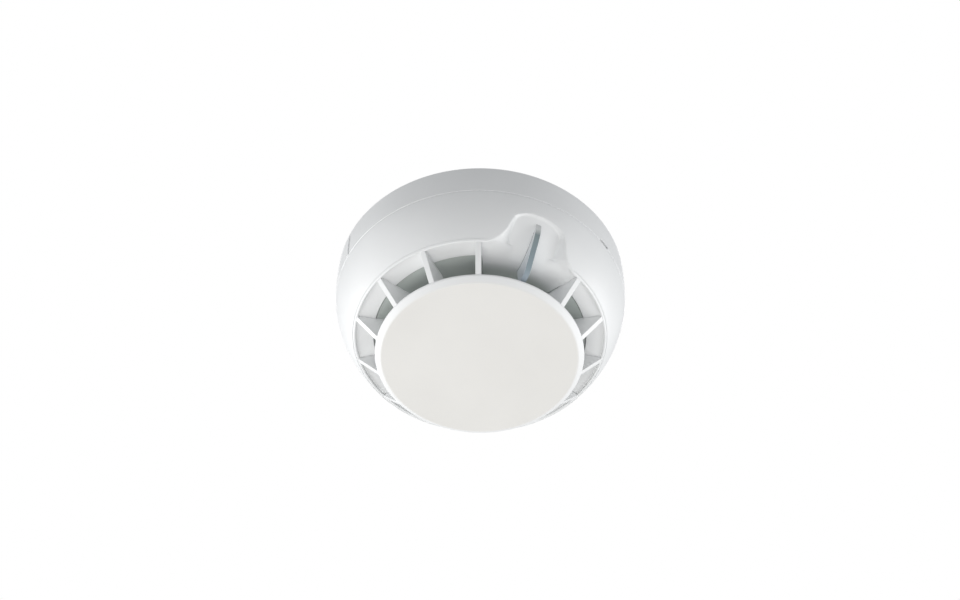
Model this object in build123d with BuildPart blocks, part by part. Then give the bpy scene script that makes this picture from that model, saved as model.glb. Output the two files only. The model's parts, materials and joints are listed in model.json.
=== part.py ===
from build123d import *
import os
from math import cos, radians, sin, sqrt

os.makedirs("parts", exist_ok=True)

# A ceiling heat detector. z = 0 is the ceiling, the detector hangs along -Z, and its
# indicator light faces -Y. Sizes are in millimetres and angles in degrees about +Z.

# ---- Driving dimensions -------------------------------------------------------------
# Outer form
BASE_TOP_RADIUS = 50.2
BASE_WAIST_RADIUS = 50.5
BASE_RIM_RADIUS = 50.35
BASE_RIM_Z = -12.7
COVER_TOP_Z = -13.0
DOME_CENTRE_R = 14.0
DOME_CENTRE_Z = -8.5
DOME_ARC = 36.5
RIM_Z = -30.6
WALL = 2.0
LIP = 0.7

# Vents and end disc
VANE_STATIONS = 14
VANE_THICKNESS = 1.9
SEAT_Z = -29.9
SEAT_INNER_RADIUS = 36.5
DISC_RADIUS = 35.5
DISC_FACE_RADIUS = 33.0
DISC_TOP_Z = -38.6
DISC_EDGE_Z = -39.5
DISC_FACE_Z = -40.9

# Indicator pocket, on the -Y side
LIGHT_ANGLE = -90
GUIDE_THICKNESS = 1.6
GUIDE_STEM = (34.6, 37.4)
LIGHT_RADIUS = 36.0
POCKET_WALL = 1.8

# Base
BASE_FLOOR = 2.4
SKIRT_INNER_RADIUS = 48.3
RING_WALL = (43.2, 45.0)
RING_WALL_Z = -11.4
CABLE_RADIUS = 10.0
SLOT_SPACING = 55.0
SLOT_LENGTH = 14.0
SLOT_WIDTH = 4.5
BASE_EDGE_RADIUS = 0.25
REAR_POCKETS = 16
REAR_POCKET_RADII = (38.5, 46.8)
REAR_POCKET_DEPTH = 1.0
REAR_POCKET_ARC = 20
RIDGE_ANGLE = -179
LATCH_ANGLE = -58.4

# Twist lock
LUG_ANGLES = (30, 150, 270)
LUG_HALF_ARC = 8
TWIST = 22
CHASSIS_RADIUS = 41.1
CHASSIS_TOP_Z = -9.6
CHASSIS_RIM_Z = -7.2
FLANGE_TOP_Z = -12.4
FLANGE_Z = -13.8
DETENT_RISE = 1.2

# Terminals
TERMINAL_ANGLES = (45, 135, 225, 315)
SCREW_U = 24.5
STRIP_Z = -3.4
STRIP_THICKNESS = 0.8
PAD_Z = -9.1
PAD_START = 15
PAD_ARC = 20
PIN_RADIUS = 0.8
PIN_R = 33.0
CONTINUITY_ANGLE = 102
CONTINUITY_U = 28.0
POST_ANGLE = 89

# Circuit board and carrier
BOARD_TOP_Z = -18.0
BOARD_Z = -19.6
BOARD_RADIUS = 38.0
CARRIER_Z = -29.5
CARRIER_TOP_Z = -27.9
BOSS_R = 22.0
BOSS_ANGLES = (30, 150, 270)
BEAD_Z = -34.6
BEAD_RADIUS = 1.3
BEAD_NECK = 0.9
LEAD_PITCH = 1.2
LEAD_RADIUS = 0.3


# ---- Helpers ------------------------------------------------------------------------
def dome_radius(z, arc=DOME_ARC):
    """Radius of the dome's outer surface at height z, or of an inner surface of a smaller arc."""
    return DOME_CENTRE_R + sqrt(arc**2 - (z - DOME_CENTRE_Z) ** 2)


def radial_plane(angle):
    """Plane through the Z axis at this angle: local x points outward and local y up."""
    outward = Vector(cos(radians(angle)), sin(radians(angle)), 0)
    return Plane(origin=(0, 0, 0), x_dir=outward, z_dir=outward.cross(Vector(0, 0, 1)))


def tangent_plane(angle, u):
    """Plane at radius u, facing outward: local x runs round the axis and local y up."""
    outward = Vector(cos(radians(angle)), sin(radians(angle)), 0)
    return Plane(origin=outward * u, x_dir=Vector(0, 0, 1).cross(outward), z_dir=outward)


def turned(angle):
    """A location turned about Z, so that x is radial and y runs round the axis."""
    return Location((0, 0, 0), (0, 0, angle))


def ring_sector(radii, heights, start, arc):
    """A block swept round the axis between two radii and two heights."""
    with BuildPart() as block:
        with BuildSketch(radial_plane(start)):
            with Locations((sum(radii) / 2, sum(heights) / 2)):
                Rectangle(abs(radii[1] - radii[0]), abs(heights[1] - heights[0]))
        revolve(axis=Axis.Z, revolution_arc=arc)
    return block.part


def radial_slab(angle, points, thickness):
    """A flat plate standing in a radial plane, outlined by (radius, height) points."""
    with BuildPart() as plate:
        with BuildSketch(radial_plane(angle)):
            Polygon(*points, align=None)
        extrude(amount=thickness / 2, both=True)
    return plate.part


def rod(radius, z_low, z_high):
    """An upright cylinder between two heights, placed by the location that is current."""
    with Locations((0, 0, (z_low + z_high) / 2)):
        Cylinder(radius, z_high - z_low)


def save(piece, name):
    piece.part.label = name
    export_step(piece.part, f"parts/{name}.step")


# ---- Base housing -------------------------------------------------------------------
lock_tabs = [ring_sector((41.5, 43.4), (-9.6, RING_WALL_Z), a - 12, 23) for a in LUG_ANGLES]
lock_stops = [ring_sector((41.5, 43.4), (-BASE_FLOOR, -9.6), a + 9.2, 1.8) for a in LUG_ANGLES]
base_ridge = radial_slab(
    RIDGE_ANGLE, [(49.4, -2), (50.6, -2.5), (50.85, -7), (50.7, BASE_RIM_Z), (49.4, BASE_RIM_Z)], 1.0
)
rear_pockets = [
    ring_sector(REAR_POCKET_RADII, (-REAR_POCKET_DEPTH, 0), 360 * n / REAR_POCKETS, REAR_POCKET_ARC)
    for n in range(REAR_POCKETS)
]
latch_root = Vector(46.6, 0, 0).rotate(Axis.Z, LATCH_ANGLE + 22.4)

with BuildPart() as base_housing:
    with BuildSketch(Plane.XZ) as base_section:
        with BuildLine():
            Line((0, 0), (BASE_TOP_RADIUS, 0))
            ThreePointArc((BASE_TOP_RADIUS, 0), (BASE_WAIST_RADIUS, -7), (BASE_RIM_RADIUS, BASE_RIM_Z))
            Polyline(
                (BASE_RIM_RADIUS, BASE_RIM_Z),
                (SKIRT_INNER_RADIUS, BASE_RIM_Z),
                (SKIRT_INNER_RADIUS, -BASE_FLOOR),
                (0, -BASE_FLOOR),
                (0, 0),
            )
        make_face()
        outer_corners = base_section.vertices().sort_by(Axis.X)[-2:]
        fillet(outer_corners, BASE_EDGE_RADIUS)
    revolve(axis=Axis.Z)
    # ring wall that the head turns in, with its three lock tabs and end stops
    with BuildSketch(Plane.XY.offset(-BASE_FLOOR)):
        Circle(RING_WALL[1])
        Circle(RING_WALL[0], mode=Mode.SUBTRACT)
    extrude(amount=RING_WALL_Z + BASE_FLOOR)
    add(lock_tabs)
    add(lock_stops)
    add(base_ridge)
    # terminal pads
    for angle in TERMINAL_ANGLES:
        with Locations(turned(angle)):
            with Locations((27, 0, (STRIP_Z - BASE_FLOOR) / 2)):
                Box(14, 9, -STRIP_Z - BASE_FLOOR)
    # block under the continuity spring
    with Locations(turned(CONTINUITY_ANGLE)):
        with Locations((CONTINUITY_U, 9.0, -3.95)):
            Box(3.4, 3, 3.1)
    # cable entry and fixing slots
    with Locations((0, 0, -BASE_FLOOR / 2)):
        Cylinder(CABLE_RADIUS, BASE_FLOOR, mode=Mode.SUBTRACT)
    with BuildSketch(Plane.XY):
        with GridLocations(SLOT_SPACING, 0, 2, 1):
            SlotOverall(SLOT_LENGTH, SLOT_WIDTH)
    extrude(amount=-BASE_FLOOR, mode=Mode.SUBTRACT)
    # shallow lightening pockets in the ceiling face, with ribs between them
    add(rear_pockets, mode=Mode.SUBTRACT)
    # blind screw holes, rivet holes and the latch's pivot hole
    for angle in TERMINAL_ANGLES:
        with Locations(turned(angle)):
            with Locations((SCREW_U, 0, (STRIP_Z - 0.7) / 2)):
                Cylinder(1.9, -STRIP_Z - 0.7, mode=Mode.SUBTRACT)
            with Locations((31.5, -1.5, (STRIP_Z - 1.4) / 2)):
                Cylinder(0.9, -STRIP_Z - 1.4, mode=Mode.SUBTRACT)
    with Locations(turned(CONTINUITY_ANGLE)):
        with Locations((CONTINUITY_U, 8.5, -3.5)):
            Cylinder(0.8, 4, mode=Mode.SUBTRACT)
    with Locations(latch_root + Vector(0, 0, -1.7)):
        Cylinder(1.05, 1.4, mode=Mode.SUBTRACT)
    # window for the latch's nose, and the release slit in the skirt's lower edge
    with Locations(turned(LATCH_ANGLE)):
        with Locations((44, 0, -10.9)):
            Box(4, 5.4, 3, mode=Mode.SUBTRACT)
        with Locations((49.3, 0, -12.3)):
            Box(4, 4.8, 0.9, mode=Mode.SUBTRACT)
save(base_housing, "base_housing")


# ---- Terminals ----------------------------------------------------------------------
def terminal_strip(angle):
    """Brass strip with a tapped hole at one end and a sprung contact finger at the other."""
    with BuildPart() as strip:
        with Locations(turned(angle)):
            with Locations((27, 0, STRIP_Z - STRIP_THICKNESS / 2)):
                Box(13, 8, STRIP_THICKNESS)
        with BuildSketch(tangent_plane(angle, 31.25)):
            with BuildLine():
                FilletPolyline(
                    (2, -3.8), (5.6, -3.8), (12.2, -8.0), (13.3, -8.5), (14.4, -8.0), radius=0.7
                )
            trace(line_width=0.5)
        extrude(amount=2.25, both=True)
        with Locations(turned(angle)):
            with Locations((SCREW_U, 0, STRIP_Z)):
                Cylinder(1.56, 3, mode=Mode.SUBTRACT)
            with Locations((31.5, -1.5, STRIP_Z)):
                Cylinder(0.9, 3, mode=Mode.SUBTRACT)
    return strip


def clamp_plate(angle):
    """Square washer with turned-down sides that presses the wire onto the strip."""
    with BuildPart() as plate:
        with Locations(turned(angle)):
            with Locations((SCREW_U, 0, -4.75)):
                Box(8.6, 8.4, 0.9)
                with Locations((0, 4.55, 0.25)):
                    Box(8.6, 0.7, 1.4)
                with Locations((0, -4.55, 0.25)):
                    Box(8.6, 0.7, 1.4)
                Cylinder(1.6, 3, mode=Mode.SUBTRACT)
    return plate


def terminal_screw(angle):
    """Pan-head machine screw, slotted, with its thread as a plain shank."""
    with BuildPart() as screw:
        with Locations(turned(angle)):
            with Locations((SCREW_U, 0, 0)):
                rod(1.5, -5.25, -1.0)
                rod(2.9, -7.2, -5.25)
        fillet(screw.edges().group_by(Axis.Z)[0], 0.6)
        with Locations(turned(angle)):
            with Locations((SCREW_U, 0, -7.0)):
                Box(7, 0.8, 1.6, mode=Mode.SUBTRACT)
    return screw


for number, angle in enumerate(TERMINAL_ANGLES, start=1):
    save(terminal_strip(angle), f"terminal_strip_{number}")
    save(clamp_plate(angle), f"clamp_plate_{number}")
    save(terminal_screw(angle), f"terminal_screw_{number}")

with BuildPart() as terminal_rivets:
    for angle in TERMINAL_ANGLES:
        with Locations(turned(angle)):
            with Locations((31.5, -1.5, 0)):
                rod(0.9, -4.2, -1.4)
                rod(1.4, -4.8, -4.2)
save(terminal_rivets, "terminal_rivets")

# ---- Continuity switch in the base --------------------------------------------------
with BuildPart() as continuity_spring:
    with Locations(turned(CONTINUITY_ANGLE)):
        with Locations((CONTINUITY_U, 1, -6.0)):
            Box(4.0, 17, 0.4)
        with Locations((CONTINUITY_U, 8.5, -6.0)):
            Cylinder(1.1, 2, mode=Mode.SUBTRACT)
save(continuity_spring, "continuity_spring")

with BuildPart() as continuity_rivet:
    with Locations(turned(CONTINUITY_ANGLE)):
        with Locations((CONTINUITY_U, 8.5, 0)):
            rod(0.8, -6.6, -1.5)
            rod(1.7, -7.2, -6.5)
save(continuity_rivet, "continuity_rivet")

with BuildPart() as continuity_contact:
    with Locations(turned(CONTINUITY_ANGLE)):
        with Locations((CONTINUITY_U + 4.3, -3.4, (-BASE_FLOOR - 7.8) / 2)):
            Box(0.6, 2.8, 7.8 - BASE_FLOOR)
        with Locations((CONTINUITY_U + 1.8, -3.4, -7.55)):
            Box(5.6, 2.8, 0.5)
save(continuity_contact, "continuity_contact")

# ---- Locking arm: a sprung arm whose nose rides on the head's detent ramp -------------
arm_arc = ring_sector((45.5, 46.7), (-9.8, -12.0), LATCH_ANGLE - 2, 24.4)
arm_nose = ring_sector((41.4, 45.6), (-9.8, -11.6), LATCH_ANGLE - 2, 4)
with BuildPart() as locking_arm:
    add(arm_arc)
    add(arm_nose)
    with Locations(latch_root):
        rod(1.3, -12.0, -BASE_FLOOR - 0.1)
        rod(1.0, -BASE_FLOOR - 0.1, -1.2)
save(locking_arm, "locking_arm")

# ---- Head chassis: contact plate with the lugs of the twist lock ----------------------
lugs = [
    ring_sector((40.9, 42.7), (CHASSIS_RIM_Z, -9.2), a - LUG_HALF_ARC, 2 * LUG_HALF_ARC)
    for a in LUG_ANGLES
]


def detent_ramp():
    """Ramp on the chassis rim whose radius grows evenly over the twist angle."""
    steps = 11
    inner = CHASSIS_RADIUS - 0.4
    low_end = LATCH_ANGLE
    outline = []
    for step in range(steps + 1):
        angle = radians(low_end + TWIST * step / steps)
        radius = CHASSIS_RADIUS + DETENT_RISE * step / steps
        outline.append((radius * cos(angle), radius * sin(angle)))
    after = radians(low_end + TWIST + 4)
    top = CHASSIS_RADIUS + DETENT_RISE
    with BuildPart() as ramp:
        with BuildSketch(Plane.XY.offset(-11.4)):
            with BuildLine():
                Polyline(*outline, (top * cos(after), top * sin(after)))
                Line((top * cos(after), top * sin(after)), (inner * cos(after), inner * sin(after)))
                middle = radians(low_end + TWIST / 2)
                ThreePointArc(
                    (inner * cos(after), inner * sin(after)),
                    (inner * cos(middle), inner * sin(middle)),
                    (inner * cos(radians(low_end)), inner * sin(radians(low_end))),
                )
                Line((inner * cos(radians(low_end)), inner * sin(radians(low_end))), outline[0])
            make_face()
        extrude(amount=1.6)
    return ramp.part


ramp_part = detent_ramp()
continuity_post = ring_sector((26.7, 28.3), (-9.7, -6.5), POST_ANGLE - 1.8, 3.6)

with BuildPart() as head_chassis:
    with BuildSketch(Plane.XZ):
        Polygon(
            (0, CHASSIS_TOP_Z),
            (38.9, CHASSIS_TOP_Z),
            (38.9, CHASSIS_RIM_Z),
            (CHASSIS_RADIUS, CHASSIS_RIM_Z),
            (CHASSIS_RADIUS, FLANGE_TOP_Z),
            (47.8, FLANGE_TOP_Z),
            (47.8, FLANGE_Z),
            (39.3, FLANGE_Z),
            (39.3, -11.2),
            (0, -11.2),
            align=None,
        )
    revolve(axis=Axis.Z)
    add(lugs)
    add(ramp_part)
    add(continuity_post)
    for angle in BOSS_ANGLES:
        with Locations(turned(angle)):
            with Locations((BOSS_R, 0, 0)):
                rod(4.0, BOARD_TOP_Z, -11.2)
    for angle in BOSS_ANGLES:
        with Locations(turned(angle)):
            with Locations((BOSS_R, 0, CHASSIS_TOP_Z)):
                Cylinder(3.0, 4.0, mode=Mode.SUBTRACT)
                Cylinder(1.5, 20, mode=Mode.SUBTRACT)
    for angle in TERMINAL_ANGLES:
        with Locations(turned(angle + PAD_START + PAD_ARC / 2)):
            with Locations((PIN_R, 0, CHASSIS_TOP_Z)):
                Cylinder(PIN_RADIUS, 4, mode=Mode.SUBTRACT)
save(head_chassis, "head_chassis")

with BuildPart() as chassis_screws:
    for angle in BOSS_ANGLES:
        with Locations(turned(angle)):
            with Locations((BOSS_R, 0, 0)):
                rod(1.45, -25.5, -11.6)
                rod(2.8, -11.6, -9.9)
save(chassis_screws, "chassis_screws")

# ---- Head contacts and their pins -----------------------------------------------------
contact_plates = [
    ring_sector((31, 36.5), (CHASSIS_TOP_Z, PAD_Z), angle + PAD_START, PAD_ARC)
    for angle in TERMINAL_ANGLES
]
for number, plate in enumerate(contact_plates, start=1):
    plate.label = f"contact_plate_{number}"
    export_step(plate, f"parts/contact_plate_{number}.step")

with BuildPart() as contact_pins:
    for angle in TERMINAL_ANGLES:
        with Locations(turned(angle + PAD_START + PAD_ARC / 2)):
            with Locations((PIN_R, 0, 0)):
                rod(PIN_RADIUS, BOARD_Z - 0.6, CHASSIS_TOP_Z)
save(contact_pins, "contact_pins")

# ---- Circuit board and what is soldered to it -----------------------------------------
with BuildPart() as circuit_board:
    with BuildSketch(Plane.XY.offset(BOARD_Z)):
        Circle(BOARD_RADIUS)
        with PolarLocations(BOSS_R, 3, start_angle=BOSS_ANGLES[0]):
            Circle(1.7, mode=Mode.SUBTRACT)
        with PolarLocations(PIN_R, 4, start_angle=TERMINAL_ANGLES[0] + PAD_START + PAD_ARC / 2):
            Circle(PIN_RADIUS, mode=Mode.SUBTRACT)
        with GridLocations(LEAD_PITCH, 0, 2, 1):
            Circle(LEAD_RADIUS, mode=Mode.SUBTRACT)
    extrude(amount=BOARD_TOP_Z - BOARD_Z)
save(circuit_board, "circuit_board")

with BuildPart() as controller_chip:
    with Locations((0, 16, BOARD_TOP_Z + 0.95)):
        Box(8.6, 4, 1.5)
    with Locations((0, 16, BOARD_TOP_Z + 0.45)):
        with GridLocations(1.27, 0, 6, 1):
            Box(0.45, 6, 0.2)
    for side in (-1, 1):
        with Locations((0, 16 + side * 3, BOARD_TOP_Z + 0.275)):
            with GridLocations(1.27, 0, 6, 1):
                Box(0.45, 0.3, 0.55)
save(controller_chip, "controller_chip")

with BuildPart() as bridge_rectifier:
    with Locations((-20, -8, BOARD_TOP_Z + 1.35)):
        Box(6.4, 4.8, 2.3)
    with Locations((-20, -8, BOARD_TOP_Z + 0.15)):
        with GridLocations(4, 7, 2, 2):
            Box(1, 2.6, 0.3)
save(bridge_rectifier, "bridge_rectifier")

with BuildPart() as smoothing_capacitor:
    with Locations((4, 24, 0)):
        rod(3.15, BOARD_Z - 5.6, BOARD_Z - 0.6)
    fillet(smoothing_capacitor.edges().group_by(Axis.Z)[0], 0.5)
    with Locations((4, 24, BOARD_Z - 0.4)):
        Box(6.6, 6.6, 0.8)
save(smoothing_capacitor, "smoothing_capacitor")

with BuildPart() as chip_resistors:
    for x, y in ((-8, 10), (-8, 14), (-12, 12), (8, -14), (12, -16), (-10, -16), (-14, -20), (22, -4)):
        with Locations((x, y, BOARD_Z - 0.3)):
            Box(2.0, 1.25, 0.6)
save(chip_resistors, "chip_resistors")

with BuildPart() as led_lamp:
    with Locations((0, -LIGHT_RADIUS, BOARD_Z - 0.4)):
        Box(3.4, 2.8, 0.8)
        with Locations((0, 0, -0.8)):
            Sphere(1.15)
save(led_lamp, "led_lamp")

# ---- Thermistor -----------------------------------------------------------------------
with BuildPart() as thermistor_leads:
    with GridLocations(LEAD_PITCH, 0, 2, 1):
        rod(LEAD_RADIUS, BEAD_Z + BEAD_NECK, BOARD_TOP_Z + 0.5)
save(thermistor_leads, "thermistor_leads")

with BuildPart() as thermistor_bead:
    with BuildSketch(Plane.XZ):
        with BuildLine():
            neck_radius = sqrt(BEAD_RADIUS**2 - BEAD_NECK**2)
            Line((0, BEAD_Z + BEAD_NECK), (0, BEAD_Z - BEAD_RADIUS))
            ThreePointArc(
                (0, BEAD_Z - BEAD_RADIUS), (BEAD_RADIUS, BEAD_Z), (neck_radius, BEAD_Z + BEAD_NECK)
            )
            Line((neck_radius, BEAD_Z + BEAD_NECK), (0, BEAD_Z + BEAD_NECK))
        make_face()
    revolve(axis=Axis.Z)
save(thermistor_bead, "thermistor_bead")

with BuildPart() as thermistor_sleeve:
    with BuildSketch(Plane.XZ):
        Polygon(
            (0, -26.9), (3.4, -26.9), (3.4, CARRIER_TOP_Z), (2.2, CARRIER_TOP_Z),
            (2.2, -30.6), (1.6, -31.6), (0, -31.6), align=None,
        )
    revolve(axis=Axis.Z)
    with GridLocations(LEAD_PITCH, 0, 2, 1):
        with Locations((0, 0, -29)):
            Cylinder(LEAD_RADIUS, 8, mode=Mode.SUBTRACT)
save(thermistor_sleeve, "thermistor_sleeve")


# ---- Indicator pocket -----------------------------------------------------------------
def pocket_floor(margin):
    """Points of the pocket's sloping floor, from the dome down to the vent floor."""
    shift = 0.72 * margin
    floor = [(51.5, -18.9), (48.2, -19.5), (45.3, -20.9), (42.9, -23.3), (40.2, -26.1), (37.2, -28.4)]
    floor += [(34.4, -29.6), (32.6, SEAT_Z)]
    return [(r - shift, z + shift) for r, z in floor]


def pocket_block(margin):
    """The space of the pocket, or with a margin the space of its wall as well."""
    floor = pocket_floor(margin)
    side = [(4.2, -19.2), (7.4, -21.2), (8.9, -24.5), (10.6, -28.4), (13.6, -30.6), (17.5, -31.6)]
    right = [(x + margin, z + margin * (z == side[0][1])) for x, z in side]
    left = [(-x, z) for x, z in reversed(right)]
    with BuildPart() as block:
        with BuildSketch(radial_plane(LIGHT_ANGLE)):
            with BuildLine():
                Spline(*floor)
                Polyline(floor[-1], (floor[-1][0], -33), (floor[0][0], -33), floor[0])
            make_face()
        extrude(amount=24, both=True)
        with BuildSketch(Plane.XZ.offset(28)):
            with BuildLine():
                Spline(*right)
                Line(right[0], left[-1])
                Spline(*left)
                Polyline(right[-1], (right[-1][0], -33), (left[0][0], -33), left[0])
            make_face()
        extrude(amount=26, mode=Mode.INTERSECT)
    return block.part


pocket = pocket_block(0)
pocket_shell = pocket_block(POCKET_WALL)
carrier_notch = pocket_block(POCKET_WALL + 0.2)

# ---- Head cover: dome, vent seat and pocket -------------------------------------------
inner_arc = DOME_ARC - WALL
flange_top = SEAT_Z + 1.6
cover_ridge = radial_slab(
    RIDGE_ANGLE, [(49.0, COVER_TOP_Z), (50.55, COVER_TOP_Z), (49.9, -16.8), (49.2, -17.4), (48.4, -17.0)], 1.0
)

with BuildPart() as pocket_wall:
    add(pocket_shell)
    with BuildSketch(Plane.XZ):
        with BuildLine():
            Line((30, -14), (dome_radius(-14), -14))
            ThreePointArc(
                (dome_radius(-14), -14), (dome_radius(-22), -22), (dome_radius(SEAT_Z), SEAT_Z)
            )
            Polyline((dome_radius(SEAT_Z), SEAT_Z), (30, SEAT_Z), (30, -14))
        make_face()
    revolve(axis=Axis.Z, mode=Mode.INTERSECT)

with BuildPart() as head_cover:
    with BuildSketch(Plane.XZ):
        with BuildLine():
            top_outer = (dome_radius(COVER_TOP_Z), COVER_TOP_Z)
            rim_outer = (dome_radius(RIM_Z), RIM_Z)
            ThreePointArc(top_outer, (dome_radius(-22), -22), rim_outer)
            corner = (dome_radius(flange_top, inner_arc), flange_top)
            top_inner = (dome_radius(COVER_TOP_Z, inner_arc), COVER_TOP_Z)
            Polyline(
                rim_outer,
                (rim_outer[0] - LIP, RIM_Z),
                (rim_outer[0] - LIP, SEAT_Z),
                (SEAT_INNER_RADIUS, SEAT_Z),
                (SEAT_INNER_RADIUS, flange_top),
                corner,
            )
            ThreePointArc(corner, (dome_radius(-21, inner_arc), -21), top_inner)
            Line(top_inner, top_outer)
        make_face()
    revolve(axis=Axis.Z)
    # ledge that the chassis flange rests on
    with BuildSketch(Plane.XZ):
        Polygon((45.8, FLANGE_Z), (48.8, FLANGE_Z), (48.6, -15.4), (45.8, -15.4), align=None)
    revolve(axis=Axis.Z)
    add(cover_ridge)
    add(pocket_wall.part)
    add(pocket, mode=Mode.SUBTRACT)
    with Locations((0, -sum(GUIDE_STEM) / 2, -27)):
        Box(GUIDE_THICKNESS + 0.2, GUIDE_STEM[1] - GUIDE_STEM[0] + 0.4, 12, mode=Mode.SUBTRACT)
save(head_cover, "head_cover")

# ---- Light guide ----------------------------------------------------------------------
guide_root = [(r + 0.05, z - 0.05) for r, z in pocket_floor(0)[2:7]]
guide_edge = [(46.6, -20.4), (46.2, -24.6), (42.6, -29.8), (38.2, -35.8), (34.8, -37.4), (34.4, -36.6)]

with BuildPart() as light_guide:
    with BuildSketch(radial_plane(LIGHT_ANGLE)):
        with BuildLine():
            Spline(*guide_root)
            Polyline(guide_root[0], *guide_edge, guide_root[-1])
        make_face()
    extrude(amount=GUIDE_THICKNESS / 2, both=True)
    with Locations((0, -sum(GUIDE_STEM) / 2, -26.2)):
        Box(GUIDE_THICKNESS, GUIDE_STEM[1] - GUIDE_STEM[0], 8.4)
save(light_guide, "light_guide")

# ---- Sensor carrier: floor of the vent chamber, with the bosses that hold the board -----
with BuildPart() as sensor_carrier:
    with BuildSketch(Plane.XZ):
        Polygon(
            (0, CARRIER_Z),
            (SEAT_INNER_RADIUS - 0.4, CARRIER_Z),
            (SEAT_INNER_RADIUS - 0.4, flange_top),
            (40.0, flange_top),
            (40.0, flange_top + 1.4),
            (34.6, flange_top + 1.4),
            (34.6, CARRIER_TOP_Z),
            (0, CARRIER_TOP_Z),
            align=None,
        )
    revolve(axis=Axis.Z)
    for angle in BOSS_ANGLES:
        with Locations(turned(angle)):
            with Locations((BOSS_R, 0, 0)):
                rod(2.8, CARRIER_TOP_Z, BOARD_Z)
    for angle in BOSS_ANGLES:
        with Locations(turned(angle)):
            with Locations((BOSS_R, 0, -23)):
                Cylinder(1.45, 7, mode=Mode.SUBTRACT)
    with Locations((0, 0, CARRIER_TOP_Z)):
        Cylinder(2.25, 6, mode=Mode.SUBTRACT)
        with PolarLocations(28.5, 3, start_angle=90):
            Cylinder(0.95, 6, mode=Mode.SUBTRACT)
    add(carrier_notch, mode=Mode.SUBTRACT)
    with Locations((0, -sum(GUIDE_STEM) / 2, -28)):
        Box(GUIDE_THICKNESS + 0.4, GUIDE_STEM[1] - GUIDE_STEM[0] + 0.6, 6, mode=Mode.SUBTRACT)
save(sensor_carrier, "sensor_carrier")

# ---- Vane cage: thirteen vanes on a hub ring, with staking pegs -------------------------
vane_outline = [
    (42.2, SEAT_Z - 0.05), (42.2, -30.95), (36.3, -38.5), (36.05, -39.4), (DISC_RADIUS, -39.4),
    (DISC_RADIUS, DISC_TOP_Z), (31.6, DISC_TOP_Z), (29.4, -31.4), (29.4, SEAT_Z - 0.05),
]
vanes = [
    radial_slab(LIGHT_ANGLE + 360 * n / VANE_STATIONS, vane_outline, VANE_THICKNESS)
    for n in range(1, VANE_STATIONS)
]
with BuildPart() as vane_cage:
    add(vanes)
    with BuildSketch(Plane.XY.offset(-31.4)):
        Circle(29.8)
        Circle(27.2, mode=Mode.SUBTRACT)
    extrude(amount=CARRIER_Z + 31.4)
    with PolarLocations(28.5, 3, start_angle=90):
        rod(0.9, CARRIER_Z, CARRIER_TOP_Z + 0.5)
save(vane_cage, "vane_cage")

# ---- End disc ---------------------------------------------------------------------------
with BuildPart() as end_disc:
    with BuildSketch(Plane.XZ):
        with BuildLine():
            Polyline((DISC_RADIUS, DISC_EDGE_Z), (DISC_RADIUS, DISC_TOP_Z), (0, DISC_TOP_Z))
            Polyline((0, DISC_TOP_Z), (0, DISC_FACE_Z), (DISC_FACE_RADIUS, DISC_FACE_Z))
            TangentArc(
                (DISC_FACE_RADIUS, DISC_FACE_Z), (DISC_RADIUS, DISC_EDGE_Z), tangent=(1, 0)
            )
        make_face()
    revolve(axis=Axis.Z)
save(end_disc, "end_disc")
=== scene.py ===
"""Looks of a ceiling heat detector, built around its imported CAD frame.

The detector hangs from z = 0 along -Z and its indicator light faces -Y.
Profiles are written in millimetres as (radius, height) points.
"""
import json
import math

import bmesh
import bpy
from mathutils import Matrix, Vector


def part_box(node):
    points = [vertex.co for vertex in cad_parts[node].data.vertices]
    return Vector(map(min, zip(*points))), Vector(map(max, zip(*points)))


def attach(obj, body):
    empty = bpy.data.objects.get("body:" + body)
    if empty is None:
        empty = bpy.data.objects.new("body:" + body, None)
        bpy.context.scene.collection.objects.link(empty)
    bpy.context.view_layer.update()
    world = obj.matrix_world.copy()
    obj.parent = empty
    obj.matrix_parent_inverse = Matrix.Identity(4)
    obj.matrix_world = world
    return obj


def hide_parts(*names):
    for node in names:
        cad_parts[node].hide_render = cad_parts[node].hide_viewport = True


MM = 0.001
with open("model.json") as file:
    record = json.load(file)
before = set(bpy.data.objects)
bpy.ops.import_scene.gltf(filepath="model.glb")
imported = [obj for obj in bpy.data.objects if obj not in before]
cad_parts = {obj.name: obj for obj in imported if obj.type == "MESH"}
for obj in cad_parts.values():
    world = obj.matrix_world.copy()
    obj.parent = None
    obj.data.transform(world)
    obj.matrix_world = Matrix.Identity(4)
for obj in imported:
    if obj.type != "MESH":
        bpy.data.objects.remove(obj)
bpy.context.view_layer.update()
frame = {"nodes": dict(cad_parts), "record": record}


# ---- Sizes read from the frame --------------------------------------------------------
def node_span(node):
    """Lowest and highest corner of a CAD node at rest, in millimetres."""
    low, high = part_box(node)
    return [v / MM for v in low], [v / MM for v in high]


base_low, _ = node_span("base_housing")
cover_low, cover_high = node_span("head_cover")
disc_low, disc_high = node_span("end_disc")

BASE_RIM_Z = base_low[2]
COVER_TOP_Z = cover_high[2]
RIM_Z = cover_low[2]
DISC_RADIUS = disc_high[0]
DISC_TOP_Z = disc_high[2]
DISC_FACE_Z = disc_low[2]

# Form of the dome: an arc about a point off the axis
DOME_CENTRE = (14.0, -8.5)
DOME_ARC = 36.5
LIP = 0.7  # the rim's width, and its height below the seat
SEAT_Z = RIM_Z + LIP
SEAT_INNER = 36.3
SEAM = 0.04  # gap at the parting line
COVER_WALL = 1.2
POCKET_TOP_Z = -19.3
VANE_STATIONS = 14
VANE_THICKNESS = 1.9
LIGHT_ANGLE = -90.0


# ---- Mesh helpers -----------------------------------------------------------------------
SHARP_ANGLE = 35
MERGE_DISTANCE = 1e-7


def dome_radius(z):
    return DOME_CENTRE[0] + math.sqrt(DOME_ARC**2 - (z - DOME_CENTRE[1]) ** 2)


def smoothstep(x):
    x = min(max(x, 0.0), 1.0)
    return x * x * (3 - 2 * x)


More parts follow.
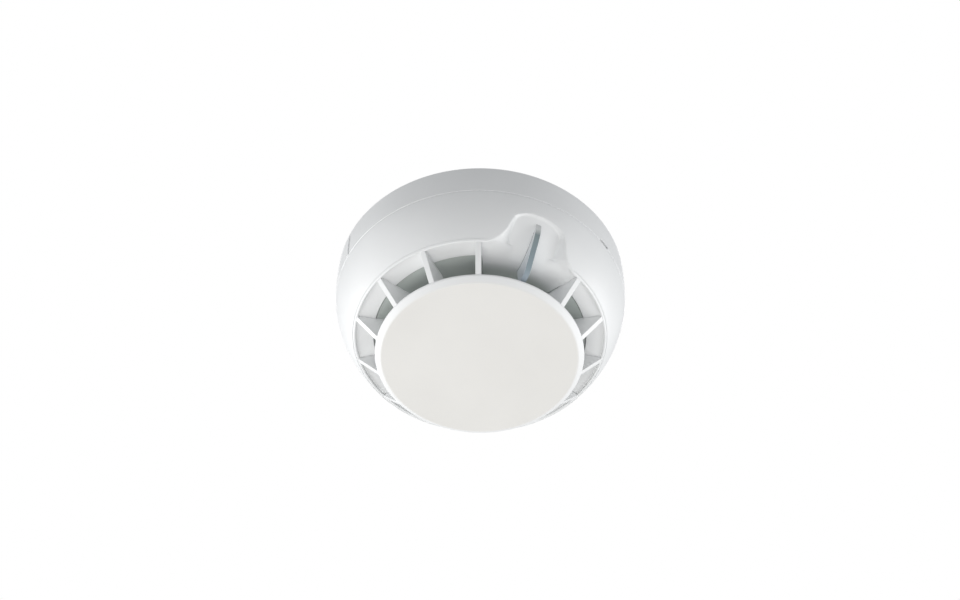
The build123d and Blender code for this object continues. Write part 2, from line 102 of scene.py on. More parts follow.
def rounded(points, radii, steps=6):
    """A polyline with its corners replaced by arcs; radii has one entry for each point."""
    out = []
    for i, (point, radius) in enumerate(zip(points, radii)):
        p = Vector(point)
        if radius <= 0 or i in (0, len(points) - 1):
            out.append(p)
            continue
        to_last = (Vector(points[i - 1]) - p).normalized()
        to_next = (Vector(points[i + 1]) - p).normalized()
        half = to_last.angle(to_next) / 2
        reach = radius / math.tan(half)
        centre = p + (to_last + to_next).normalized() * radius / math.sin(half)
        start = p + to_last * reach - centre
        end = p + to_next * reach - centre
        turn = start.angle_signed(end)
        for k in range(steps + 1):
            out.append(centre + Matrix.Rotation(-turn * k / steps, 2) @ start)
    return [tuple(p) for p in out]


def resample(points, count):
    """Points at even spacing along a polyline."""
    lengths = [0.0]
    for a, b in zip(points, points[1:]):
        lengths.append(lengths[-1] + math.dist(a, b))
    out = []
    k = 0
    for i in range(count):
        want = lengths[-1] * i / (count - 1)
        while k < len(points) - 2 and lengths[k + 1] < want:
            k += 1
        span = lengths[k + 1] - lengths[k]
        t = (want - lengths[k]) / span if span else 0.0
        out.append(tuple(a + (b - a) * t for a, b in zip(points[k], points[k + 1])))
    return out


def finish_mesh(name, vertices, faces, sharp=SHARP_ANGLE):
    """A mesh object in metres from vertices in millimetres, with consistent outward normals."""
    mesh = bpy.data.meshes.new(name)
    mesh.from_pydata([tuple(c * MM for c in v) for v in vertices], [], faces)
    work = bmesh.new()
    work.from_mesh(mesh)
    bmesh.ops.remove_doubles(work, verts=work.verts, dist=MERGE_DISTANCE)
    bmesh.ops.recalc_face_normals(work, faces=work.faces)
    work.to_mesh(mesh)
    work.free()
    mesh.shade_smooth()
    mesh.set_sharp_from_angle(angle=math.radians(sharp))
    piece = bpy.data.objects.new(name, mesh)
    bpy.context.scene.collection.objects.link(piece)
    return piece


def lathe(name, profile, segments):
    """A closed (radius, height) outline turned about the Z axis."""
    vertices = []
    faces = []
    count = len(profile)
    for i in range(segments):
        angle = 2 * math.pi * i / segments
        for r, z in profile:
            vertices.append((r * math.cos(angle), r * math.sin(angle), z))
    for i in range(segments):
        a = i * count
        b = (i + 1) % segments * count
        for k in range(count):
            n = (k + 1) % count
            faces.append((a + k, b + k, b + n, a + n))
    return finish_mesh(name, vertices, faces)


def bevel(piece, width, segments):
    """Rounds a piece's sharp edges by a width in millimetres."""
    mod = piece.modifiers.new("edges", "BEVEL")
    mod.width = width * MM
    mod.segments = segments
    mod.limit_method = "ANGLE"
    mod.angle_limit = math.radians(SHARP_ANGLE)
    mod.harden_normals = False


# ---- Materials --------------------------------------------------------------------------
WHITE_LOW = (0.835, 0.845, 0.85)
WHITE_TONE = (0.85, 0.86, 0.865)
WHITE_HIGH = (0.87, 0.88, 0.885)
WHITE_ROUGHNESS = 0.4
# Painted shade: the cover's floor greys to this tone where it runs in under the disc, standing in
# for the disc's shadow
PAINTED_SHADE_TONE = (0.50, 0.54, 0.52)
PAINTED_SHADE_SPAN = (29.5, 34.5)  # radii where painted shade on the pocket's floor turns from grey to white
DISC_EDGE_SPAN = (2.6, 1.4)  # distances from the disc's edge where its face's warmer tone turns to the edge's white

# Painted light and shade of what shows through the clear fin, darker at its foot: a tone at each
# position from its foot (0) to its top (1)
GUIDE_FLANK_TONES = [
    (0.0, (0.62, 0.67, 0.76)),
    (0.3, (0.74, 0.80, 0.85)),
    (0.6, (0.86, 0.91, 0.94)),
    (0.9, (0.92, 0.94, 0.95)),
]
# Painted shadow of the gap where the fin enters the pocket's floor, along its root line
GUIDE_ROOT_SHADOW_TONES = [
    (0.0, (0.17, 0.18, 0.23)),
    (0.5, (0.24, 0.25, 0.29)),
    (0.8, (0.42, 0.43, 0.46)),
]
# The edge's dark teal is painted shade of what shows through it; its light top is the fin's opaque
# white top
GUIDE_EDGE_TONES = [
    (0.0, (0.38, 0.44, 0.51)),
    (0.2, (0.34, 0.42, 0.46)),
    (0.45, (0.31, 0.38, 0.41)),
    (0.74, (0.28, 0.34, 0.35)),
    (0.84, (0.74, 0.76, 0.76)),
]


def new_material(name):
    material = bpy.data.materials.new(name)
    material.use_nodes = True
    return material, material.node_tree.nodes, material.node_tree.links


def moulded_plastic(name, low, high, roughness, grain=0.02, grain_scale=2600, coat=0.0):
    """Injection-moulded plastic: faint flow variation in tone and gloss, and a fine grain."""
    material, nodes, links = new_material(name)
    shader = nodes["Principled BSDF"]
    place = nodes.new("ShaderNodeTexCoord")
    flow = nodes.new("ShaderNodeTexNoise")
    flow.inputs["Scale"].default_value = 38
    flow.inputs["Detail"].default_value = 3
    tone = nodes.new("ShaderNodeValToRGB")
    tone.color_ramp.elements[0].position = 0.3
    tone.color_ramp.elements[1].position = 0.7
    tone.color_ramp.elements[0].color = (*low, 1)
    tone.color_ramp.elements[1].color = (*high, 1)
    gloss = nodes.new("ShaderNodeMapRange")
    gloss.inputs["To Min"].default_value = roughness - 0.03
    gloss.inputs["To Max"].default_value = roughness + 0.04
    fine = nodes.new("ShaderNodeTexNoise")
    fine.inputs["Scale"].default_value = grain_scale
    fine.inputs["Detail"].default_value = 2
    bump = nodes.new("ShaderNodeBump")
    bump.inputs["Strength"].default_value = grain
    bump.inputs["Distance"].default_value = 0.0002
    links.new(place.outputs["Object"], flow.inputs["Vector"])
    links.new(place.outputs["Object"], fine.inputs["Vector"])
    links.new(flow.outputs["Fac"], tone.inputs["Fac"])
    links.new(flow.outputs["Fac"], gloss.inputs["Value"])
    links.new(tone.outputs["Color"], shader.inputs["Base Color"])
    links.new(gloss.outputs["Result"], shader.inputs["Roughness"])
    links.new(fine.outputs["Fac"], bump.inputs["Height"])
    links.new(bump.outputs["Normal"], shader.inputs["Normal"])
    shader.inputs["Coat Weight"].default_value = coat
    shader.inputs["Coat Roughness"].default_value = 0.2
    shader.inputs["IOR"].default_value = 1.53
    return material


def rolled_metal(name, low, high, roughness, streak):
    """Sheet or turned metal with fine streaks and a slightly uneven tone."""
    material, nodes, links = new_material(name)
    shader = nodes["Principled BSDF"]
    shader.inputs["Metallic"].default_value = 1.0
    place = nodes.new("ShaderNodeTexCoord")
    stretch = nodes.new("ShaderNodeMapping")
    stretch.inputs["Scale"].default_value = streak
    noise = nodes.new("ShaderNodeTexNoise")
    noise.inputs["Scale"].default_value = 900
    noise.inputs["Detail"].default_value = 4
    tone = nodes.new("ShaderNodeValToRGB")
    tone.color_ramp.elements[0].color = (*low, 1)
    tone.color_ramp.elements[1].color = (*high, 1)
    gloss = nodes.new("ShaderNodeMapRange")
    gloss.inputs["To Min"].default_value = roughness - 0.06
    gloss.inputs["To Max"].default_value = roughness + 0.08
    links.new(place.outputs["Object"], stretch.inputs["Vector"])
    links.new(stretch.outputs["Vector"], noise.inputs["Vector"])
    links.new(noise.outputs["Fac"], tone.inputs["Fac"])
    links.new(noise.outputs["Fac"], gloss.inputs["Value"])
    links.new(tone.outputs["Color"], shader.inputs["Base Color"])
    links.new(gloss.outputs["Result"], shader.inputs["Roughness"])
    return material


def guide_finish(name, tones):
    """Clear polycarbonate, with painted light and shade along its height standing in for what shows
    through it.
    """
    material, nodes, links = new_material(name)
    shader = nodes["Principled BSDF"]
    place = nodes.new("ShaderNodeTexCoord")
    split = nodes.new("ShaderNodeSeparateXYZ")
    height = nodes.new("ShaderNodeMapRange")
    low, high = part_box("light_guide")
    height.inputs["From Min"].default_value = low[2]
    height.inputs["From Max"].default_value = POCKET_TOP_Z * MM
    ripple = nodes.new("ShaderNodeTexNoise")
    ripple.inputs["Scale"].default_value = 260
    shift = nodes.new("ShaderNodeMath")
    shift.operation = "MULTIPLY_ADD"
    shift.inputs[1].default_value = 0.12
    ramp = nodes.new("ShaderNodeValToRGB")
    elements = ramp.color_ramp.elements
    while len(elements) < len(tones):
        elements.new(0.5)
    for element, (position, tone) in zip(elements, tones):
        element.position = position
        element.color = (*tone, 1)
    gloss = nodes.new("ShaderNodeMapRange")
    gloss.inputs["To Min"].default_value = 0.08
    gloss.inputs["To Max"].default_value = 0.22
    links.new(place.outputs["Object"], split.inputs["Vector"])
    links.new(place.outputs["Object"], ripple.inputs["Vector"])
    links.new(split.outputs["Z"], height.inputs["Value"])
    links.new(ripple.outputs["Fac"], shift.inputs[0])
    links.new(height.outputs["Result"], shift.inputs[2])
    links.new(shift.outputs["Value"], ramp.inputs["Fac"])
    links.new(ripple.outputs["Fac"], gloss.inputs["Value"])
    links.new(ramp.outputs["Color"], shader.inputs["Base Color"])
    links.new(gloss.outputs["Result"], shader.inputs["Roughness"])
    shader.inputs["IOR"].default_value = 1.58
    shader.inputs["Transmission Weight"].default_value = 0.15
    return material


def radial_blend(material, inner, outer, inner_tone=None, outer_tone=None):
    """Blends a material's tone into another one across a span of radii, given in millimetres."""
    nodes, links = material.node_tree.nodes, material.node_tree.links
    shader = nodes["Principled BSDF"]
    own_tone = shader.inputs["Base Color"].links[0].from_socket
    place = nodes.new("ShaderNodeTexCoord")
    flat = nodes.new("ShaderNodeVectorMath")
    flat.operation = "MULTIPLY"
    flat.inputs[1].default_value = (1, 1, 0)
    radius = nodes.new("ShaderNodeVectorMath")
    radius.operation = "LENGTH"
    span = nodes.new("ShaderNodeMapRange")
    span.interpolation_type = "SMOOTHSTEP"
    span.inputs["From Min"].default_value = inner * MM
    span.inputs["From Max"].default_value = outer * MM
    blend = nodes.new("ShaderNodeMixRGB")
    links.new(place.outputs["Object"], flat.inputs[0])
    links.new(flat.outputs["Vector"], radius.inputs[0])
    links.new(radius.outputs["Value"], span.inputs["Value"])
    links.new(span.outputs["Result"], blend.inputs["Fac"])
    for side, tone in (("Color1", inner_tone), ("Color2", outer_tone)):
        if tone is None:
            links.new(own_tone, blend.inputs[side])
        else:
            blend.inputs[side].default_value = (*tone, 1)
    links.new(blend.outputs["Color"], shader.inputs["Base Color"])
    return material


def disc_finish(name):
    """The disc's face is a fine matt texture, a little warmer and darker than its edge."""
    material = moulded_plastic(name, (0.765, 0.755, 0.73), (0.79, 0.78, 0.755), 0.5, grain=0.05)
    inner, outer = (DISC_RADIUS - distance for distance in DISC_EDGE_SPAN)
    return radial_blend(material, inner, outer, outer_tone=WHITE_TONE)


def cover_finish(name):
    """White like the base, with painted shade greying it where it runs on as the floor of the vent
    chamber.
    """
    material = moulded_plastic(name, WHITE_LOW, WHITE_HIGH, WHITE_ROUGHNESS)
    return radial_blend(material, *PAINTED_SHADE_SPAN, inner_tone=PAINTED_SHADE_TONE)


# Tone range, roughness and other settings of each slot in the record
plastics = {
    "white_abs": (WHITE_LOW, WHITE_HIGH, WHITE_ROUGHNESS, {}),
    # carrier_abs: painted shade; the sensor carrier is white, toned grey-green like the shaded vent
    # chamber floor under the disc
    "carrier_abs": ((0.48, 0.52, 0.50), (0.52, 0.56, 0.54), 0.55, {"grain": 0.06}),
    "acetal": ((0.76, 0.75, 0.70), (0.80, 0.79, 0.74), 0.35, {}),
    "board_green": ((0.02, 0.16, 0.07), (0.03, 0.21, 0.09), 0.25, {"coat": 0.4}),
    "chip_black": ((0.018, 0.018, 0.02), (0.03, 0.03, 0.032), 0.45, {"grain": 0.08}),
    "led_clear": ((0.80, 0.82, 0.84), (0.86, 0.88, 0.90), 0.1, {"grain": 0.0, "coat": 0.6}),
    "thermistor_glass": ((0.02, 0.018, 0.016), (0.04, 0.036, 0.03), 0.14, {"coat": 0.8}),
    "sleeve_grey": ((0.50, 0.51, 0.51), (0.56, 0.57, 0.57), 0.6, {"grain": 0.06}),
}
EVEN, ALONG, DRAWN = (1, 1, 1), (1, 1, 12), (1, 1, 30)
metals = {
    "brass_strip": ((0.72, 0.58, 0.30), (0.80, 0.66, 0.38), 0.26, ALONG),
    "zinc_steel": ((0.60, 0.62, 0.65), (0.72, 0.73, 0.75), 0.30, EVEN),
    "spring_bronze": ((0.68, 0.42, 0.22), (0.76, 0.50, 0.28), 0.28, ALONG),
    "rivet_brass": ((0.70, 0.56, 0.30), (0.78, 0.64, 0.36), 0.22, EVEN),
    "can_aluminium": ((0.74, 0.75, 0.77), (0.82, 0.83, 0.85), 0.24, DRAWN),
    "lead_wire": ((0.66, 0.66, 0.67), (0.76, 0.76, 0.77), 0.22, DRAWN),
}
finishes = {}
for slot, (low, high, roughness, extra) in plastics.items():
    finishes[slot] = moulded_plastic(slot, low, high, roughness, **extra)
for slot, (low, high, roughness, streak) in metals.items():
    finishes[slot] = rolled_metal(slot, low, high, roughness, streak)


def finish_cad_nodes():
    """Gives every CAD node that stays in view the finish of its slot in the record."""
    for entry in frame["record"]["subparts"]:
        material = finishes.get(entry["material_slot"])
        if material is None:
            continue
        for holder in frame["nodes"][entry["node"]].material_slots:
            holder.material = material


# ---- Head cover ---------------------------------------------------------------------------
def dome_run(z_from, z_to, count):
    """Points down the dome's arc between two heights."""
    angles = [math.asin((z - DOME_CENTRE[1]) / DOME_ARC) for z in (z_from, z_to)]
    run = []
    for k in range(count):
        a = angles[0] + (angles[1] - angles[0]) * k / (count - 1)
        r = DOME_CENTRE[0] + DOME_ARC * math.cos(a)
        run.append((r, DOME_CENTRE[1] + DOME_ARC * math.sin(a)))
    return run


# The pocket is carved into the dome: its floor in section, and half its width at each height
POCKET_FLOOR = [
    (48.85, -19.35), (47.9, -19.85), (46.7, -21.4), (44.7, -23.8), (41.7, -26.3),
    (38.3, -28.3), (35.4, -29.3), (32.5, -29.62), (28.0, -29.6), (24.0, -29.54),
]
POCKET_FLOOR_ROUNDING = [0, 1.6, 8, 14, 14, 10, 8, 10, 10, 0]
POCKET_SIDE = [
    (-19.3, 3.2), (-19.7, 4.6), (-20.2, 6.3), (-20.8, 7.9), (-21.6, 9.0), (-22.8, 9.5),
    (-24.4, 10.1), (-26.5, 10.8), (-28.7, 11.8), (-29.6, 12.9), (-30.3, 14.0),
]
LEFT_EXTRA = 0.3

# Its side walls: how far they run out sideways, with rounded ends
WALL_SLOPE = 2.1
WALL_ROUNDING = 0.22
EDGE_SOFTNESS = 0.5
TOP_RIGHT_SOFTNESS = 5.0
TOP_RIGHT_DEPTH = 4.0
SIDE_BLEND = 4

# On the seat the walls open into a wider, gentler mouth
SEAT_SIDE = 14.6
SEAT_REACH = 9.5
SEAT_BLEND = 8.5
SEAT_BLEND_ROW = 42

# Beside the pocket the lip fades out, and under the fin a tongue runs in over the vent floor;
# both fades are spans of degrees from the fin
LIP_FADE = (16.5, 22.0)
TONGUE_FADE = (21.5, 24.2)
TONGUE_INNER = 24.0
CARVE_DOME_END = 40.6
CARVE_LIP_END = 39.9

# Roundings of the rim with its lip, and of the soft rim where the lip has faded
RIM_START = 0.5
RIM_ROUNDING = [0, 0.33, 0.3, 0.12, 0]
SOFT_RIM_START = 1.5
SOFT_RIM_ROUNDING = [0, 2.6, 0]
RIM_RUN_IN = 0.8
INNER_EDGE_ROUNDING = 0.25
INNER_EDGE_FADE = 0.2
INNER_EDGE_DRAFT = 0.02
TOP_EDGE_ROUNDING = 0.17
TOP_EDGE_DEPTH = 0.8

# How finely the surface is sampled
DOME_ROWS, LIP_ROWS, SEAT_ROWS, UPPER_ROWS = 60, 30, 40, 14
FLOOR_SAMPLES = 300
FINE_STEP, COARSE_STEP = 0.4, 1.5
FINE_SPAN = 30


def side_width(z):
    """Half-width of the pocket's mouth at a height on the dome."""
    if z >= POCKET_SIDE[0][0]:
        return POCKET_SIDE[0][1]
    for (z0, w0), (z1, w1) in zip(POCKET_SIDE, POCKET_SIDE[1:]):
        if z >= z1:
            return w0 + (w1 - w0) * (z - z0) / (z1 - z0)
    return POCKET_SIDE[-1][1]


def split_at(path, radius):
    """A path with falling radius cut in two at a radius."""
    k = next(i for i, p in enumerate(path) if p[0] < radius)
    (r0, z0), (r1, z1) = path[k - 1], path[k]
    t = (r0 - radius) / (r0 - r1)
    cut = (radius, z0 + (z1 - z0) * t)
    return path[:k] + [cut], [cut] + path[k:]


def mix(p, q, t):
    """The point a share t of the way from p to q."""
    return tuple(a + (b - a) * t for a, b in zip(p, q))


def plain_rows(lip, tongue):
    """Rows of the uncarved section; lip and tongue run from 0 to 1."""
    rim_r = dome_radius(RIM_Z)
    seat_r = dome_radius(SEAT_Z)
    inner = SEAT_INNER + (TONGUE_INNER - SEAT_INNER) * tongue
    inner_z = SEAT_Z + (POCKET_FLOOR[-1][1] - SEAT_Z) * tongue
    lip_r = rim_r - LIP
    run_in = (lip_r - RIM_RUN_IN, SEAT_Z)
    dome_with = resample(dome_run(POCKET_TOP_Z, RIM_Z + RIM_START, DOME_ROWS), DOME_ROWS)
    dome_without = resample(dome_run(POCKET_TOP_Z, SEAT_Z + SOFT_RIM_START, DOME_ROWS), DOME_ROWS)
    rim = [dome_with[-1], (rim_r, RIM_Z), (lip_r, RIM_Z), (lip_r, SEAT_Z), run_in]
    rim_with = resample(rounded(rim, RIM_ROUNDING, 8), LIP_ROWS)
    soft = [dome_without[-1], (seat_r, SEAT_Z), run_in]
    rim_without = resample(rounded(soft, SOFT_RIM_ROUNDING, 12), LIP_ROWS)
    rows = [mix(p, q, lip) for p, q in zip(dome_without, dome_with)]
    rows += [mix(p, q, lip) for p, q in zip(rim_without[1:], rim_with[1:])]
    edge = [rows[-1], (inner, inner_z), (inner - INNER_EDGE_DRAFT, inner_z + COVER_WALL)]
    edge = rounded(edge, [0, INNER_EDGE_ROUNDING - INNER_EDGE_FADE * tongue, 0], 4)
    return rows + resample(edge, SEAT_ROWS)[1:]


def carved_rows():
    """The pocket's floor, row for row with plain_rows."""
    path = resample(rounded(POCKET_FLOOR, POCKET_FLOOR_ROUNDING), FLOOR_SAMPLES)
    upper, rest = split_at(path, CARVE_DOME_END)
    middle, lower = split_at(rest, CARVE_LIP_END)
    lower.append((TONGUE_INNER - INNER_EDGE_DRAFT, POCKET_FLOOR[-1][1] + COVER_WALL))
    rows = resample(upper, DOME_ROWS)
    rows += resample(middle, LIP_ROWS)[1:]
    return rows + resample(lower, SEAT_ROWS)[1:]


def fade(off, span):
    """From 0 to 1 across a span of angles."""
    return smoothstep((off - span[0]) / (span[1] - span[0]))


def soft_ramp(x, rounding):
    """A straight ramp from 0 to 1 whose two ends are rounded."""
    if x <= 0:
        return 0.0
    if x >= 1:
        return 1.0
    rise = 1 / (1 - rounding)
    if x < rounding:
        return rise * x * x / (2 * rounding)
    if x > 1 - rounding:
        return 1 - rise * (1 - x) ** 2 / (2 * rounding)
    return rise * (x - rounding / 2)


def cover_surface():
    """Head cover's outer face: the dome's section all round, carved by the pocket."""
    top = BASE_RIM_Z - SEAM
    edge = [(dome_radius(top) - COVER_WALL, top), (dome_radius(top), top)]
    arc = dome_run(COVER_TOP_Z - TOP_EDGE_DEPTH, POCKET_TOP_Z, UPPER_ROWS)
    upper = rounded(edge + arc, [0, TOP_EDGE_ROUNDING] + [0] * UPPER_ROWS, 5)
    carved = carved_rows()
    angles = []
    angle = -180.0
    while angle < 180.0 - 1e-6:
        angles.append(angle)
        angle += FINE_STEP if abs(angle - LIGHT_ANGLE) < FINE_SPAN else COARSE_STEP
    points = []
    for angle in angles:
        off = abs((angle - LIGHT_ANGLE + 180) % 360 - 180)
        plain = plain_rows(fade(off, LIP_FADE), 1 - fade(off, TONGUE_FADE))
        section = list(upper[:-1])
        run = 0.0
        for k, (p, q) in enumerate(zip(plain, carved)):
            across = math.sin(math.radians(min(off, 90))) * p[0]
            if k > SEAT_BLEND_ROW:
                run += math.dist(p, plain[k - 1])
            on_seat = smoothstep(run / SEAT_BLEND)
            signed = across if angle > LIGHT_ANGLE else -across
            to_right = smoothstep(signed / SIDE_BLEND + 0.5)
            at_top = 1 - smoothstep((POCKET_TOP_Z - p[1]) / TOP_RIGHT_DEPTH)
            softness = EDGE_SOFTNESS + TOP_RIGHT_SOFTNESS * to_right * at_top
            wall = math.dist(p, q) / WALL_SLOPE + softness
            reach = wall * (1 - on_seat) + SEAT_REACH * on_seat
            width = side_width(p[1]) * (1 - on_seat) + SEAT_SIDE * on_seat
            width += LEFT_EXTRA * (1 - to_right)
            section.append(mix(p, q, soft_ramp((width - across) / reach, WALL_ROUNDING)))
        c, s = math.cos(math.radians(angle)), math.sin(math.radians(angle))
        points += [(r * c, r * s, z) for r, z in section]
    per = len(points) // len(angles)
    faces = []
    for i in range(len(angles)):
        a = i * per
        b = (i + 1) % len(angles) * per
        for k in range(per - 1):
            faces.append((a + k, a + k + 1, b + k + 1, b + k))
    return points, faces


def make_cover():
    piece = finish_mesh("cover_shell", *cover_surface(), sharp=50)
    wall = piece.modifiers.new("wall", "SOLIDIFY")
    wall.thickness = COVER_WALL * MM
    wall.offset = -1
    piece.data.materials.append(cover_finish("cover_abs"))
    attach(piece, "head")
    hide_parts("head_cover")


# ---- Light guide ----------------------------------------------------------------------------
GUIDE_THICKNESS = 1.9
GUIDE_X = -0.35
GUIDE_OUTER = 46.9
GUIDE_INNER = 31.8
GUIDE_EDGE = [
    (GUIDE_OUTER, -19.7), (46.7, -22.2), (46.0, -24.9), (44.4, -27.5), (42.6, -29.8),
    (40.4, -32.9), (38.2, -35.8), (36.6, -36.9), (34.8, -37.4), (32.6, -37.6),
]
GUIDE_EDGE_ROUNDING = [0, 6, 8, 10, 10, 10, 2, 2, 4, 0]
GUIDE_BEVEL = 0.16
GUIDE_SINK = 0.35  # how deep its root stands in the pocket's floor
GUIDE_ROOT = 0.38  # width of the painted shadow line along its root, which fades in from the top
GUIDE_ROOT_SUNK = 0.1
GUIDE_ROOT_START = 8
GUIDE_STEPS = 48
GUIDE_FLOOR_SAMPLES = 200
FLANK, EDGE, ROOT = 0, 1, 2


def make_guide():
    """Clear fin on the pocket's floor, with its edge, flanks and root line finished apart; the root
    line is a painted shadow, and the edge and flanks carry painted shade.
    """
    edge = resample(rounded(GUIDE_EDGE, GUIDE_EDGE_ROUNDING), GUIDE_STEPS)
    samples = resample(POCKET_FLOOR, GUIDE_FLOOR_SAMPLES)
    foot = resample([p for p in samples if GUIDE_INNER < p[0] < GUIDE_OUTER], GUIDE_STEPS)
    line = []
    for k, (r, z) in enumerate(foot):
        proud = GUIDE_ROOT * min(k / GUIDE_ROOT_START, 1) - GUIDE_ROOT_SUNK
        line.append((r + proud, z - proud))
    root = [(r - GUIDE_SINK, z + GUIDE_SINK) for r, z in foot]
    vertices = []
    for x in (GUIDE_X - GUIDE_THICKNESS / 2, GUIDE_X + GUIDE_THICKNESS / 2):
        vertices += [(x, -r, z) for r, z in edge + line + root]
    n = GUIDE_STEPS
    faces = []
    finish = []
    for k in range(n - 1):
        for start in (0, 3 * n):
            for row in (0, n):
                a = start + row + k
                faces.append((a, a + 1, a + n + 1, a + n))
                finish.append(ROOT if row and k >= GUIDE_ROOT_START else FLANK)
        for row, kind in ((0, EDGE), (2 * n, FLANK)):
            faces.append((row + k, row + k + 1, row + 3 * n + k + 1, row + 3 * n + k))
            finish.append(kind)
    for k in (0, n - 1):
        faces.append((k, n + k, 2 * n + k, 5 * n + k, 4 * n + k, 3 * n + k))
        finish.append(EDGE)
    piece = finish_mesh("light_fin", vertices, faces, sharp=40)
    piece.data.materials.append(guide_finish("guide_flank", GUIDE_FLANK_TONES))
    piece.data.materials.append(guide_finish("guide_edge", GUIDE_EDGE_TONES))
    piece.data.materials.append(guide_finish("guide_root_shadow", GUIDE_ROOT_SHADOW_TONES))
    for face, kind in zip(piece.data.polygons, finish):
        face.material_index = kind
    bevel(piece, GUIDE_BEVEL, 3)
    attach(piece, "head")
    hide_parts("light_guide")


# ---- Vanes and end disc ---------------------------------------------------------------------
VANE_BEVEL = 0.4
VANE_UNDER_SEAT = SEAT_Z - 0.05
VANE_PAST_SEAT = SEAT_Z + 0.4
VANE_OUTLINE = [
    (42.7, VANE_UNDER_SEAT), (42.7, RIM_Z - 0.08), (35.6, -38.75), (35.0, -39.0),
    (35.0, DISC_TOP_Z), (31.6, DISC_TOP_Z), (29.4, -31.4), (29.4, VANE_PAST_SEAT),
    (SEAT_INNER, VANE_PAST_SEAT), (SEAT_INNER, VANE_UNDER_SEAT),
]
DISC_AXIS = 0.02  # keeps the turned outline off the axis
DISC_EDGE_Z = -39.3
DISC_FACE_RADIUS = 33.4
DISC_ROUNDING = [0, 0.3, 0.8, 1.3, 0]
DISC_SEGMENTS = 288


def make_vane(station):
    """Vertices and faces of the vane at one station, counted round from the fin's."""
    angle = math.radians(LIGHT_ANGLE + 360 * station / VANE_STATIONS)
    out = Vector((math.cos(angle), math.sin(angle), 0))
    side = Vector((-math.sin(angle), math.cos(angle), 0)) * VANE_THICKNESS / 2
    vertices = []
    for sign in (-1, 1):
        for r, z in VANE_OUTLINE:
            vertices.append(out * r + side * sign + Vector((0, 0, z)))
    n = len(VANE_OUTLINE)
    faces = [tuple(range(n)), tuple(range(2 * n - 1, n - 1, -1))]
    faces += [(k, k + n, (k + 1) % n + n, (k + 1) % n) for k in range(n)]
    return vertices, faces


def make_cage():
    """The vanes at every station but the fin's, as one piece."""
    vertices = []
    faces = []
    for station in range(1, VANE_STATIONS):
        part_vertices, part_faces = make_vane(station)
        start = len(vertices)
        vertices += part_vertices
        faces += [tuple(i + start for i in face) for face in part_faces]
    piece = finish_mesh("vanes", vertices, faces)
    bevel(piece, VANE_BEVEL, 4)
    piece.data.materials.append(finishes["white_abs"])
    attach(piece, "head")
    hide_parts("vane_cage")


def make_disc():
    outline = [
        (DISC_AXIS, DISC_TOP_Z), (DISC_RADIUS, DISC_TOP_Z), (DISC_RADIUS, DISC_EDGE_Z),
        (DISC_FACE_RADIUS, DISC_FACE_Z), (DISC_AXIS, DISC_FACE_Z),
    ]
    piece = lathe("disc", rounded(outline, DISC_ROUNDING, 8), DISC_SEGMENTS)
    piece.data.materials.append(disc_finish("disc_abs"))
    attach(piece, "head")
    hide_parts("end_disc")


# ---- Camera, light and stage -------------------------------------------------------------------
VIEW_AZIMUTH = -24.4
VIEW_ELEVATION = -49.57
VIEW_DISTANCE = 0.707
VIEW_ROLL = 0.9
VIEW_LENS = 76.86
VIEW_SHIFT = 0.025
AIM = Vector((0, 0, -0.02222))
FLOOR_SIZE = 14
FLOOR_Z = -1.6

# Name, azimuth from the view, elevation, distance, side, power and tint of each light
SOFTBOXES = [
    ("left_softbox", -111, -15, 0.9, 0.7, 6.2, (1, 1, 1)),
    ("right_softbox", 105, -15, 0.9, 0.7, 5.5, (1, 1, 1)),
    ("below_softbox", -70, -77, 1.1, 0.7, 3.6, (1.0, 0.98, 0.945)),
    ("ceiling_softbox", 180, 62, 1.3, 0.7, 3.0, (1, 1, 1)),
    ("front_softbox", 0, -24, 1.2, 0.9, 1.6, (1, 1, 1)),
]


def direction(azimuth, elevation):
    """Unit vector out from the object: azimuth 0 is -Y, elevation is above level."""
    a, e = math.radians(azimuth), math.radians(elevation)
    return Vector((math.sin(a) * math.cos(e), -math.cos(a) * math.cos(e), math.sin(e)))


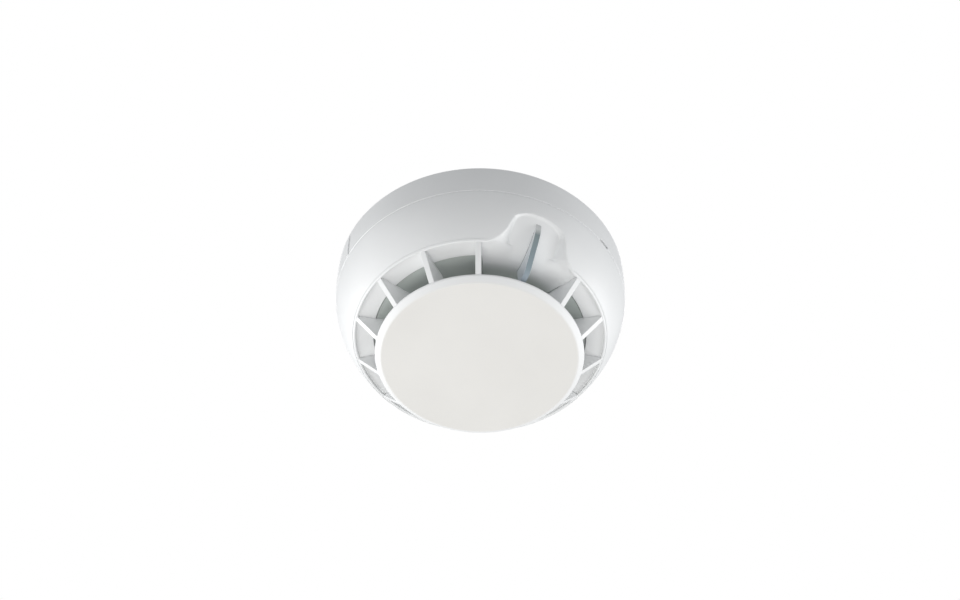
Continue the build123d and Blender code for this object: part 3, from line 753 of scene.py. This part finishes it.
def make_camera():
    data = bpy.data.cameras.new("camera")
    data.lens = VIEW_LENS
    data.shift_y = VIEW_SHIFT
    data.clip_start = 0.01
    camera = bpy.data.objects.new("camera", data)
    towards = direction(VIEW_AZIMUTH, VIEW_ELEVATION)
    camera.location = AIM + towards * VIEW_DISTANCE
    roll = Matrix.Rotation(math.radians(VIEW_ROLL), 3, "Z")
    camera.rotation_euler = ((-towards).to_track_quat("-Z", "Y").to_matrix() @ roll).to_euler()
    bpy.context.scene.collection.objects.link(camera)
    bpy.context.scene.camera = camera


def area_light(name, azimuth, elevation, distance, side, power, tint):
    data = bpy.data.lights.new(name, "AREA")
    data.shape = "RECTANGLE"
    data.size, data.size_y = side, side
    data.energy = power
    data.color = tint
    lamp = bpy.data.objects.new(name, data)
    towards = direction(azimuth, elevation)
    lamp.location = AIM + towards * distance
    lamp.rotation_euler = (-towards).to_track_quat("-Z", "Y").to_euler()
    bpy.context.scene.collection.objects.link(lamp)


def make_light():
    """A plain white backdrop for the camera, a soft even fill for the object, and the softboxes."""
    world = bpy.data.worlds.new("studio")
    bpy.context.scene.world = world
    world.use_nodes = True
    nodes, links = world.node_tree.nodes, world.node_tree.links
    fill = nodes["Background"]
    fill.inputs["Color"].default_value = (0.97, 0.985, 1.0, 1)
    fill.inputs["Strength"].default_value = 0.44
    backdrop = nodes.new("ShaderNodeBackground")
    backdrop.inputs["Color"].default_value = (1, 1, 1, 1)
    backdrop.inputs["Strength"].default_value = 1.0
    seen = nodes.new("ShaderNodeLightPath")
    choice = nodes.new("ShaderNodeMixShader")
    links.new(seen.outputs["Is Camera Ray"], choice.inputs["Fac"])
    links.new(fill.outputs["Background"], choice.inputs[1])
    links.new(backdrop.outputs["Background"], choice.inputs[2])
    links.new(choice.outputs["Shader"], nodes["World Output"].inputs["Surface"])
    for name, turn, *rest in SOFTBOXES:
        area_light(name, VIEW_AZIMUTH + turn, *rest)



def make_floor():
    bpy.ops.mesh.primitive_plane_add(size=FLOOR_SIZE, location=(0, 0, FLOOR_Z))
    floor = bpy.context.object
    floor.name = "floor"
    material, nodes, links = new_material("pale_floor")
    nodes["Principled BSDF"].inputs["Base Color"].default_value = (0.85, 0.85, 0.85, 1)
    nodes["Principled BSDF"].inputs["Roughness"].default_value = 0.8
    floor.data.materials.append(material)


make_camera()
make_light()
make_floor()
finish_cad_nodes()
make_cover()
make_guide()
make_cage()
make_disc()

bpy.context.scene.view_settings.view_transform = "Standard"
